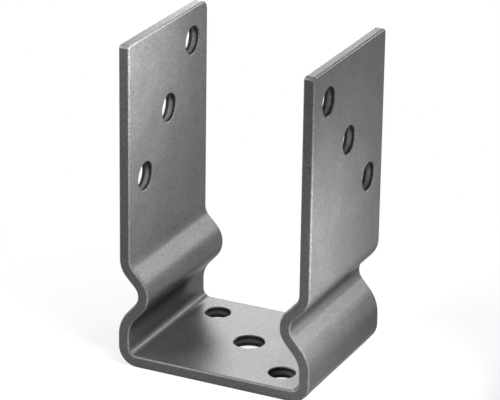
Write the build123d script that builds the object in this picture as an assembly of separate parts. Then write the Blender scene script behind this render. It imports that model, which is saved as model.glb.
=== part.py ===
from build123d import *
from math import cos, radians, sin, tan
import os

# Beam hanger: one flat steel bar, punched while flat and folded into a U with a waisted foot.
# X runs across the U, Y along the width of the bar and Z up the legs, in millimetres.
# The origin is the middle of the underside of the base.

# Flat bar
bar_width = 70.0
thickness = 5.0
edge_radius = 1.0
end_corner_radius = 1.6
worn_corner_radius = 4.0

# Legs
clear_width = 76.0
height = 140.0

# Foot, from the ground up; bends are given by their inside radius and slopes as degrees from upright
base_bend = 3.5
bulge_step = 0.6
bulge_bend = 11.5
slope_below_waist = 41.0
waist_inset = 8.4
waist_height = 32.0
waist_bend = 5.6
slope_above_waist = 44.0
shoulder_bend = 6.0

# Holes, each row of three on a diagonal of the bar
leg_hole = 12.0
leg_hole_drop = 37.0
leg_hole_rise = 23.0
leg_hole_offset = 21.0
base_hole = 11.0
centre_hole = 13.0
base_hole_spread = 25.0
base_hole_offset = 21.0
hole_chamfer = 0.4


def skin(depth):
    """One face of the folded bar seen from its edge, at a depth of 0 inside the U to thickness outside."""
    leg = clear_width / 2 + depth
    bulge = leg + bulge_step
    below = radians(slope_below_waist)
    above = radians(slope_above_waist)

    # The waist bends the other way, about a centre outside the U; its corner is where its slopes would meet
    waist_radius = waist_bend + thickness - depth
    waist_centre = clear_width / 2 - waist_inset + thickness + waist_bend
    reach = waist_radius / cos((above + below) / 2)
    tilt = (above - below) / 2
    waist_x = waist_centre - reach * cos(tilt)
    waist_z = waist_height + reach * sin(tilt)

    base = (bulge, thickness - depth)
    side = (bulge, waist_z - (bulge - waist_x) / tan(below))
    waist = (waist_x, waist_z)
    shoulder = (leg, waist_z + (leg - waist_x) / tan(above))
    right = [base, side, waist, shoulder, (leg, height)]
    left = [(-x, z) for x, z in reversed(right)]

    radii = [base_bend + depth, bulge_bend + depth, waist_radius, shoulder_bend + depth]
    return FilletPolyline(*left, *right, radius=radii[::-1] + radii)


def folded_bar():
    """The bar bent to shape, with square edges."""
    inside = skin(0)
    outside = skin(thickness)
    ends = [Line(inside @ 0, outside @ 0), Line(inside @ 1, outside @ 1)]
    outline = make_face([inside, outside, *ends])
    return extrude(Plane.XZ * outline, amount=bar_width / 2, both=True)


def round_corners(bar):
    """Round the four corners of the bar's ends, the left leg's back one being worn further."""
    corners = bar.edges().filter_by(Axis.X).group_by(Axis.Z)[-1]
    worn = corners.group_by(Axis.Y)[-1].sort_by(Axis.X)[0]
    bar = fillet(corners - [worn], end_corner_radius)
    worn = bar.edges().filter_by(Axis.X).group_by(Axis.Z)[-1].group_by(Axis.Y)[-1]
    return fillet(worn, worn_corner_radius)


def round_edges(bar):
    """Round the rolled edges of both faces, all the way along the sides and over the ends."""
    across = bar.edges().filter_by(Axis.X).filter_by_position(Axis.Z, height / 2, height)
    rims = [edge for edge in bar.edges() - across if at_cut_edge(edge)]
    return fillet(rims, edge_radius)


def at_cut_edge(edge):
    """Whether an edge lies on the bar's sides, ends or corners and not along a bend."""
    middle = edge.center()
    from_side = bar_width / 2 - abs(middle.Y)
    return from_side < worn_corner_radius or height - middle.Z < worn_corner_radius


def leg_holes():
    """The right leg's three holes, from the front one at the top to the back one at the bottom."""
    across = Plane.YZ.offset(clear_width / 2)
    drill = Cylinder(leg_hole / 2, thickness, align=(Align.CENTER, Align.CENTER, Align.MIN))
    middle = height - leg_hole_drop
    places = [(-step * leg_hole_offset, middle + step * leg_hole_rise) for step in (1, 0, -1)]
    return [across * Pos(*place) * drill for place in places]


def base_holes():
    """The base's three holes, the middle one wider, in line from the back left to the front right."""
    drills = []
    for step in (-1, 0, 1):
        width = base_hole if step else centre_hole
        drill = Cylinder(width / 2, thickness, align=(Align.CENTER, Align.CENTER, Align.MIN))
        drills.append(Pos(step * base_hole_spread, -step * base_hole_offset) * drill)
    return drills


def beam_hanger():
    """The whole hanger: the bar bent, its edges rounded and its nine holes punched and eased."""
    bar = round_edges(round_corners(folded_bar()))
    right = leg_holes()
    left = [Rotation(0, 0, 180) * drill for drill in right]
    before = bar.edges()
    bar = bar - [*right, *left, *base_holes()]
    rims = (bar.edges() - before).filter_by(GeomType.CIRCLE)
    return chamfer(rims, hole_chamfer)


os.makedirs("parts", exist_ok=True)
export_step(beam_hanger(), "parts/hanger.step")
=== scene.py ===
import math

import bpy
from mathutils import Matrix, Vector


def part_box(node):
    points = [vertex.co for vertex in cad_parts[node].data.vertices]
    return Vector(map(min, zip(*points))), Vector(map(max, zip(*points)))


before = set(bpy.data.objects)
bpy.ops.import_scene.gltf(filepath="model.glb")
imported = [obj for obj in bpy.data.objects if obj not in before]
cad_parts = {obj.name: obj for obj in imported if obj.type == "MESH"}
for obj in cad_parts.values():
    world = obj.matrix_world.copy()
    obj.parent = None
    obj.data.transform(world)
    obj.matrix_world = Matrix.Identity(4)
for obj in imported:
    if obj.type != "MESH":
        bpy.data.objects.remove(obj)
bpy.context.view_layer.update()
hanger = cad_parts["hanger"]
mm = 0.001                    # Blender's metres for each millimetre


def linear(hexColour):        # sRGB hex to the linear colour that nodes take
    channels = [int(hexColour[i:i + 2], 16) / 255 for i in (1, 3, 5)]
    return [c / 12.92 if c <= 0.04045 else ((c + 0.055) / 1.055) ** 2.4 for c in channels] + [1.0]


def addNode(tree, kind, settings=None, inputs=None, links=None):
    node = tree.nodes.new("ShaderNode" + kind)
    for name, value in (settings or {}).items():
        setattr(node, name, value)
    for name, value in (inputs or {}).items():
        node.inputs[name].default_value = value
    for name, socket in (links or {}).items():
        tree.links.new(socket, node.inputs[name])
    return node


smooth = {"interpolation_type": "SMOOTHSTEP"}    # a mask with soft ends


def newMaterial(name):
    material = bpy.data.materials.new(name)
    material.use_nodes = True
    material.node_tree.nodes.clear()
    return material, material.node_tree


# The hanger: what a user would change about its finish. Lengths are in millimetres
zincCoat = {
    "dull": "#5A5A5A",        # the coat on the wide faces
    "bright": "#606060",      # lighter clouds in it
    "shadedSlit": "#474747",        # narrow sides, where the bar was slit: painted shade, darker than the wide faces
    "worn": "#727272",        # rubbed metal and a painted highlight along the rolled edges
    "holeWallShade": "#202020",     # painted shade on the torn wall of a punched hole
    "holeWallHighlight": "#5C5C5C",   # painted highlight: a lighter ring half way through a hole's wall
    "bendShade": 0.85,        # painted shade: how much of the colour is left deep inside a bend
    "bendShadeReach": 16.0,     # how far away a surface still casts painted shade on another
    "underside": 0.4,         # painted shade: how much of the colour is left where the surface faces down, and low on the bulges
    "waistHeight": 32.0,      # the bulges are below it; as in the part's source
    "waistFade": 10.0,        # the painted shade on them ends over this height
    "metalShare": 0.65,       # bare zinc; the rest is its dull oxide
    "glancing": "#BEBEBE",    # how bright it reflects at a shallow angle; oxide keeps it from flaring to white
    "roughness": 0.37,        # satin
    "roughnessSpread": 0.06,  # from cloud to cloud
    "wallRoughness": 0.2,     # added on the hole walls
    "edgeRoughness": 0.6,     # added where an edge rounds off, times a mask of a quarter at most
    "cloud": 14.0,            # width of a light or dark cloud
    "grain": 0.8,             # zinc crystals; the real ones are finer than a pixel, so they are drawn this coarse
    "grainShade": 0.26,       # how much a crystal is lighter or darker than the coat
    "grainHeight": 0.014,     # a crystal stands this proud of the next
    "ripple": 18.0,           # slow waves left by rolling
    "rippleHeight": 0.03,     # depth of a wave
    "innerFace": 38.0,        # from the middle of the U to a leg's inner face, as in the part's source
    "thickness": 5.0,         # of the bar
    "edgeRadius": 1.0,        # of its rolled edges
    "holeEase": 0.4,          # the chamfer at a hole's rim
    "lowestLegHole": 74.0,    # height of its lowest point
    "ringReach": 1.4,         # half the width of the painted highlight ring
}


# Steel flat bar with a dull zinc coat, dipped and then handled: grey and slightly cloudy on the wide faces, with
# painted shade on the slit sides, where it faces down and deep in the bends, rubbed metal and a painted highlight
# along the rolled edges, and painted shade on the rough walls of the punched holes, with a painted highlight ring half
# way through
def zincCoatedSteel():
    coat = zincCoat
    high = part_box("hanger")[1] / mm
    material, tree = newMaterial("zincCoatedSteel")
    coordinates = addNode(tree, "TexCoord").outputs
    place = coordinates["Object"]
    axes = addNode(tree, "SeparateXYZ", links={"Vector": place}).outputs
    facing = addNode(tree, "SeparateXYZ", links={"Vector": coordinates["Normal"]}).outputs
    across = addNode(tree, "Math", {"operation": "ABSOLUTE"}, links={0: axes["X"]}).outputs[0]
    along = addNode(tree, "Math", {"operation": "ABSOLUTE"}, links={0: axes["Y"]}).outputs[0]

    clouds = addNode(tree, "TexNoise", inputs={"Scale": 1 / (coat["cloud"] * mm), "Detail": 3, "Roughness": 0.55},
                     links={"Vector": place}).outputs["Fac"]
    grain = addNode(tree, "TexNoise", inputs={"Scale": 1 / (coat["grain"] * mm), "Detail": 2, "Roughness": 0.6},
                    links={"Vector": place}).outputs["Fac"]
    ripple = addNode(tree, "TexNoise", inputs={"Scale": 1 / (coat["ripple"] * mm), "Detail": 1},
                     links={"Vector": place}).outputs["Fac"]

    # Narrow sides, and the rounding between them and the wide faces, by how far the surface faces front or back
    sideways = addNode(tree, "Math", {"operation": "POWER"}, {1: 2}, {0: facing["Y"]}).outputs[0]
    shadedSlit = addNode(tree, "MapRange", smooth, {"From Min": 0.6, "From Max": 0.95},
                   {"Value": sideways}).outputs["Result"]
    broad = addNode(tree, "Math", {"operation": "SUBTRACT"}, {0: 1}, {1: sideways}).outputs[0]
    upward = addNode(tree, "Math", {"operation": "POWER"}, {1: 2}, {0: facing["Z"]}).outputs[0]
    notUp = addNode(tree, "Math", {"operation": "SUBTRACT"}, {0: 1}, {1: upward}).outputs[0]
    endRounding = addNode(tree, "Math", {"operation": "MULTIPLY"}, links={0: upward, 1: notUp}).outputs[0]
    atEnd = addNode(tree, "Math", {"operation": "GREATER_THAN"}, {1: (high.z - 2 * coat["edgeRadius"]) * mm},
                    {0: axes["Z"]}).outputs[0]
    awayFromSides = addNode(tree, "Math", {"operation": "LESS_THAN"}, {1: (high.y - 2 * coat["edgeRadius"]) * mm},
                            {0: along}).outputs[0]
    atSide = addNode(tree, "Math", {"operation": "SUBTRACT"}, {0: 1}, {1: awayFromSides}).outputs[0]
    eased = addNode(tree, "Math", {"operation": "MULTIPLY"}, links={0: sideways, 1: broad}).outputs[0]
    rounding = addNode(tree, "Math", {"operation": "MULTIPLY"}, links={0: eased, 1: atSide}).outputs[0]
    rounding = addNode(tree, "Math", {"operation": "MULTIPLY_ADD"},
                       links={0: endRounding, 1: atEnd, 2: rounding}).outputs[0]
    worn = addNode(tree, "MapRange", smooth, {"From Min": 0.03, "From Max": 0.20},
                   {"Value": rounding}).outputs["Result"]

    # Hole walls: the only surface that lies inside the bar's thickness, away from its sides and ends
    half = coat["thickness"] / 2
    deep = (half - coat["holeEase"]) * mm
    lowHole, highHole = coat["lowestLegHole"] - coat["holeEase"], high.z - 2 * coat["edgeRadius"]
    inLeg = addNode(tree, "Math", {"operation": "COMPARE"}, {1: (coat["innerFace"] + half) * mm, 2: deep},
                    {0: across}).outputs[0]
    atHeight = addNode(tree, "Math", {"operation": "COMPARE"},
                       {1: (highHole + lowHole) / 2 * mm, 2: (highHole - lowHole) / 2 * mm}, {0: axes["Z"]}).outputs[0]
    inLeg = addNode(tree, "Math", {"operation": "MULTIPLY"}, links={0: inLeg, 1: atHeight}).outputs[0]
    inBase = addNode(tree, "Math", {"operation": "COMPARE"}, {1: half * mm, 2: deep}, {0: axes["Z"]}).outputs[0]
    betweenLegs = addNode(tree, "Math", {"operation": "LESS_THAN"},
                          {1: (coat["innerFace"] - 2 * coat["edgeRadius"]) * mm}, {0: across}).outputs[0]
    inHole = addNode(tree, "Math", {"operation": "MULTIPLY_ADD"},
                     links={0: inBase, 1: betweenLegs, 2: inLeg}).outputs[0]
    wall = addNode(tree, "Math", {"operation": "MULTIPLY", "use_clamp": True},
                   links={0: inHole, 1: awayFromSides}).outputs[0]

    # The painted highlight ring on a hole's wall, by how far the wall is from the middle of the bar's thickness
    fromLegMiddle = addNode(tree, "Math", {"operation": "SUBTRACT"}, {1: (coat["innerFace"] + half) * mm},
                            {0: across}).outputs[0]
    fromLegMiddle = addNode(tree, "Math", {"operation": "ABSOLUTE"}, links={0: fromLegMiddle}).outputs[0]
    fromBaseMiddle = addNode(tree, "Math", {"operation": "SUBTRACT"}, {1: half * mm}, {0: axes["Z"]}).outputs[0]
    fromBaseMiddle = addNode(tree, "Math", {"operation": "ABSOLUTE"}, links={0: fromBaseMiddle}).outputs[0]
    fromMiddle = addNode(tree, "Math", {"operation": "MINIMUM"},
                         links={0: fromLegMiddle, 1: fromBaseMiddle}).outputs[0]
    wallHighlightRing = addNode(tree, "MapRange", smooth, {
        "From Min": 0.2 * mm, "From Max": coat["ringReach"] * mm, "To Min": 1, "To Max": 0},
        {"Value": fromMiddle}).outputs["Result"]

    # Painted shade: the open surface keeps its colour, and deep inside the bends it is painted darker
    openness = addNode(tree, "AmbientOcclusion", {"samples": 8}, {"Distance": coat["bendShadeReach"] * mm}).outputs["AO"]
    bendShadeFactor = addNode(tree, "MapRange", inputs={"From Min": 0.35, "From Max": 0.95, "To Min": coat["bendShade"]},
                    links={"Value": openness}).outputs["Result"]

    # Painted shade: darker where the surface faces down, and low on the outside of each bulge
    down = addNode(tree, "MapRange", smooth, {"From Min": -0.45, "From Max": 0, "To Min": 1, "To Max": 0},
                   {"Value": facing["Z"]}).outputs["Result"]
    tilt = addNode(tree, "MapRange", smooth, {"From Min": -0.1, "From Max": 0.5, "To Min": 1, "To Max": 0},
                   {"Value": facing["Z"]}).outputs["Result"]
    low = addNode(tree, "MapRange", smooth, {
        "From Min": coat["waistHeight"] * mm, "From Max": (coat["waistHeight"] + coat["waistFade"]) * mm,
        "To Min": 1, "To Max": 0}, {"Value": axes["Z"]}).outputs["Result"]
    foot = addNode(tree, "Math", {"operation": "MULTIPLY"}, links={0: tilt, 1: low}).outputs[0]
    foot = addNode(tree, "Math", {"operation": "MULTIPLY"}, links={0: foot, 1: broad}).outputs[0]
    outward = addNode(tree, "Math", {"operation": "MULTIPLY"}, links={0: facing["X"], 1: axes["X"]}).outputs[0]
    outside = addNode(tree, "Math", {"operation": "GREATER_THAN"}, {1: 0}, {0: outward}).outputs[0]
    foot = addNode(tree, "Math", {"operation": "MULTIPLY"}, links={0: foot, 1: outside}).outputs[0]
    shadedDownMask = addNode(tree, "Math", {"operation": "MAXIMUM"}, links={0: foot, 1: down}).outputs[0]
    undersideShadeFactor = addNode(tree, "MapRange", inputs={"To Min": 1, "To Max": coat["underside"]},
                      links={"Value": shadedDownMask}).outputs["Result"]

    patch = addNode(tree, "MapRange", smooth, {"From Min": 0.35, "From Max": 0.65},
                    {"Value": clouds}).outputs["Result"]
    colour = addNode(tree, "Mix", {"data_type": "RGBA"}, {6: linear(coat["dull"]), 7: linear(coat["bright"])},
                     {0: patch}).outputs[2]
    # painted shade on the narrow sides
    colour = addNode(tree, "Mix", {"data_type": "RGBA"}, {7: linear(coat["shadedSlit"])}, {0: shadedSlit, 6: colour}).outputs[2]
    # rubbed metal and a painted highlight on the rolled edges
    colour = addNode(tree, "Mix", {"data_type": "RGBA"}, {7: linear(coat["worn"])}, {0: worn, 6: colour}).outputs[2]
    # painted shade on the hole walls, with a painted highlight ring half way through
    holeWallShadeAndHighlight = addNode(tree, "Mix", {"data_type": "RGBA"}, {6: linear(coat["holeWallShade"]), 7: linear(coat["holeWallHighlight"])},
                      {0: wallHighlightRing}).outputs[2]
    colour = addNode(tree, "Mix", {"data_type": "RGBA"}, links={0: wall, 6: colour, 7: holeWallShadeAndHighlight}).outputs[2]
    crystals = addNode(tree, "MapRange", inputs={
        "From Min": 0.3, "From Max": 0.7, "To Min": 1 - coat["grainShade"], "To Max": 1 + coat["grainShade"]},
        links={"Value": grain}).outputs["Result"]
    # painted shade deep inside the bends
    shade = addNode(tree, "Math", {"operation": "MULTIPLY"}, links={0: crystals, 1: bendShadeFactor}).outputs[0]
    # painted shade where the surface faces down and low on the bulges
    shade = addNode(tree, "Math", {"operation": "MULTIPLY"}, links={0: shade, 1: undersideShadeFactor}).outputs[0]
    colour = addNode(tree, "VectorMath", {"operation": "SCALE"}, links={0: colour, "Scale": shade}).outputs[0]

    rough = addNode(tree, "MapRange", inputs={
        "From Min": 0.3, "From Max": 0.7, "To Min": coat["roughness"] - coat["roughnessSpread"] / 2,
        "To Max": coat["roughness"] + coat["roughnessSpread"] / 2}, links={"Value": clouds}).outputs["Result"]
    rough = addNode(tree, "Math", {"operation": "MULTIPLY_ADD"}, {1: coat["wallRoughness"]},
                    {0: wall, 2: rough}).outputs[0]
    rough = addNode(tree, "Math", {"operation": "MULTIPLY_ADD"}, {1: coat["edgeRoughness"]},
                    {0: eased, 2: rough}).outputs[0]

    waves = addNode(tree, "Bump", inputs={"Distance": coat["rippleHeight"] * mm, "Strength": 1},
                    links={"Height": ripple}).outputs[0]
    relief = addNode(tree, "Bump", inputs={"Distance": coat["grainHeight"] * mm, "Strength": 1},
                     links={"Height": grain, "Normal": waves}).outputs[0]
    steel = addNode(tree, "BsdfPrincipled",
                    inputs={"Metallic": coat["metalShare"], "Specular Tint": linear(coat["glancing"])},
                    links={"Base Color": colour, "Roughness": rough, "Normal": relief})
    addNode(tree, "OutputMaterial", links={"Surface": steel.outputs[0]})
    return material


hanger.data.materials.clear()
hanger.data.materials.append(zincCoatedSteel())
print("hanger: zinc-coated steel")

studio = {
    "floorSize": 6000.0,      # millimetres
    "paper": "#F6F6F6",       # pale floor and backdrop
    "shadowDepth": 0.4,       # how much of the lamps' shading shows on the floor; the rest is plain white
    "shadowNear": 60.0,       # from here to shadowFar, counted from the middle, the floor fades to plain white
    "shadowFar": 180.0,
    "ambient": 0.3,           # light from all round
}


def addSeen(tree):            # 1 where the camera looks at it, or sees it in metal or through glass
    path = addNode(tree, "LightPath").outputs
    seen = addNode(tree, "Math", {"operation": "ADD", "use_clamp": True},
                   links={0: path["Is Camera Ray"], 1: path["Is Glossy Ray"]}).outputs[0]
    return addNode(tree, "Math", {"operation": "ADD", "use_clamp": True},
                   links={0: seen, 1: path["Is Transmission Ray"]}).outputs[0]


def palePaper():              # matt paper: shaded by the lamps, and lifted to white where it is looked at
    material, tree = newMaterial("palePaper")
    paper = addNode(tree, "BsdfDiffuse", inputs={"Color": linear(studio["paper"])}).outputs[0]
    glow = addNode(tree, "Emission", inputs={"Color": (1, 1, 1, 1), "Strength": 1}).outputs[0]
    away = addNode(tree, "VectorMath", {"operation": "LENGTH"},
                   links={0: addNode(tree, "TexCoord").outputs["Object"]}).outputs["Value"]
    white = addNode(tree, "MapRange", smooth, {
        "From Min": studio["shadowNear"] * mm, "From Max": studio["shadowFar"] * mm,
        "To Min": 1 - studio["shadowDepth"], "To Max": 1}, {"Value": away}).outputs["Result"]
    amount = addNode(tree, "Math", {"operation": "MULTIPLY"}, links={0: white, 1: addSeen(tree)}).outputs[0]
    mixed = addNode(tree, "MixShader", links={0: amount, 1: paper, 2: glow})
    addNode(tree, "OutputMaterial", links={"Surface": mixed.outputs[0]})
    return material


def layFloor():
    bpy.ops.mesh.primitive_plane_add(size=studio["floorSize"] * mm, location=(0, 0, 0))
    floor = bpy.context.object
    floor.name = "floor"
    floor.data.materials.append(palePaper())


def lightBackdrop():
    world = bpy.data.worlds.new("backdrop")
    bpy.context.scene.world = world
    world.use_nodes = True
    tree = world.node_tree
    tree.nodes.clear()
    strength = addNode(tree, "MapRange", inputs={"To Min": studio["ambient"], "To Max": 1},
                       links={"Value": addSeen(tree)}).outputs["Result"]
    sky = addNode(tree, "Background", inputs={"Color": (1, 1, 1, 1)}, links={"Strength": strength})
    addNode(tree, "OutputWorld", links={"Surface": sky.outputs[0]})


layFloor()
lightBackdrop()
print("floor and backdrop: pale paper")

# The place and width of each softbox, and where it is aimed, are in millimetres, and its power in watts.
# One that isn't mirrored lights the coat without showing as a highlight in it
lamps = {
    "lowLeftBack": {"place": (-1700, 1000, 350), "aim": (0, 0, 70), "width": 600, "power": 24},
    "leftFront": {"place": (-1500, -850, 1050), "aim": (0, 0, 70), "width": 600, "power": 24},
    "rightBack": {"place": (800, 1700, 800), "aim": (0, 0, 70), "width": 600, "power": 6.8},
    "closeLeftBack": {"place": (-150, 325, 190), "aim": (0, 0, 70), "width": 140, "power": 0.55},
    "besideRightLeg": {"place": (93, -38, 66), "aim": (43, -38, 54), "width": 60, "power": 0.31, "mirrored": False},
    "betweenLegs": {"place": (12, -42, 145), "aim": (-38, -42, 126), "width": 60, "power": 0.4, "mirrored": False},
}


def hangLamps():
    for name, lamp in lamps.items():
        light = bpy.data.lights.new(name, "AREA")
        light.shape = "SQUARE"
        light.size = lamp["width"] * mm
        light.energy = lamp["power"]
        softbox = bpy.data.objects.new(name, light)
        softbox.location = Vector(lamp["place"]) * mm
        softbox.rotation_euler = (Vector(lamp["place"]) - Vector(lamp["aim"])).to_track_quat("Z", "Y").to_euler()
        softbox.visible_camera = False
        softbox.visible_glossy = lamp.get("mirrored", True)
        bpy.context.scene.collection.objects.link(softbox)


hangLamps()
print("lamps:", ", ".join(lamps))

cameraView = {                # angles in degrees from the front, lengths in millimetres
    "azimuth": 25.41,         # towards the right
    "elevation": 21.92,
    "roll": 0.84,
    "lens": 203.3,
    "distance": 1186.8,       # from the middle of the underside
    "right": 0.4,             # how far the camera is moved sideways and up from there, without turning
    "up": 64.1,
}


def placeCamera():
    azimuth, elevation, roll = (math.radians(cameraView[key]) for key in ("azimuth", "elevation", "roll"))
    back = Vector((math.sin(azimuth) * math.cos(elevation), -math.cos(azimuth) * math.cos(elevation),
                   math.sin(elevation)))
    level = Vector((math.cos(azimuth), math.sin(azimuth), 0))
    rise = back.cross(level)
    right = level * math.cos(roll) + rise * math.sin(roll)
    up = rise * math.cos(roll) - level * math.sin(roll)
    place = (back * cameraView["distance"] + right * cameraView["right"] + up * cameraView["up"]) * mm
    camera = bpy.data.objects.new("camera", bpy.data.cameras.new("camera"))
    camera.matrix_world = Matrix((
        (right.x, up.x, back.x, place.x),
        (right.y, up.y, back.y, place.y),
        (right.z, up.z, back.z, place.z),
        (0, 0, 0, 1)))
    camera.data.lens = cameraView["lens"]
    camera.data.sensor_width = 36
    camera.data.clip_end = 20
    bpy.context.scene.collection.objects.link(camera)
    bpy.context.scene.camera = camera


placeCamera()
bpy.context.scene.view_settings.view_transform = "Standard"
print("camera placed")
